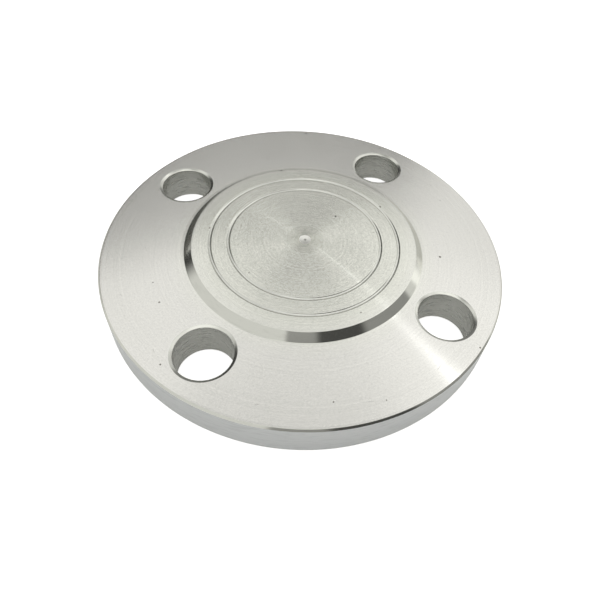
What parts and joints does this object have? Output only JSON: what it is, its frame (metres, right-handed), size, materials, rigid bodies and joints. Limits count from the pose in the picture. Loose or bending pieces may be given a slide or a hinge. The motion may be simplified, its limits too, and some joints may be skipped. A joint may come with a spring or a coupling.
{
  "type": "blind flange",
  "caption": "Round steel disc that closes the end of a flanged pipe, with a raised grooved sealing face and bolt holes through its rim.",
  "frame": {"origin": "centre of the flat back face", "axes": "+Z along the flange's axis, out of the raised sealing face; the bolt holes straddle the X and Y axes"},
  "size_m": [0.115, 0.115, 0.0126],
  "materials": {
    "turned_steel": "fine concentric lathe turning"
  },
  "bodies": {
    "root": {"flange_disc": "turned_steel"}
  },
  "joints": []
}
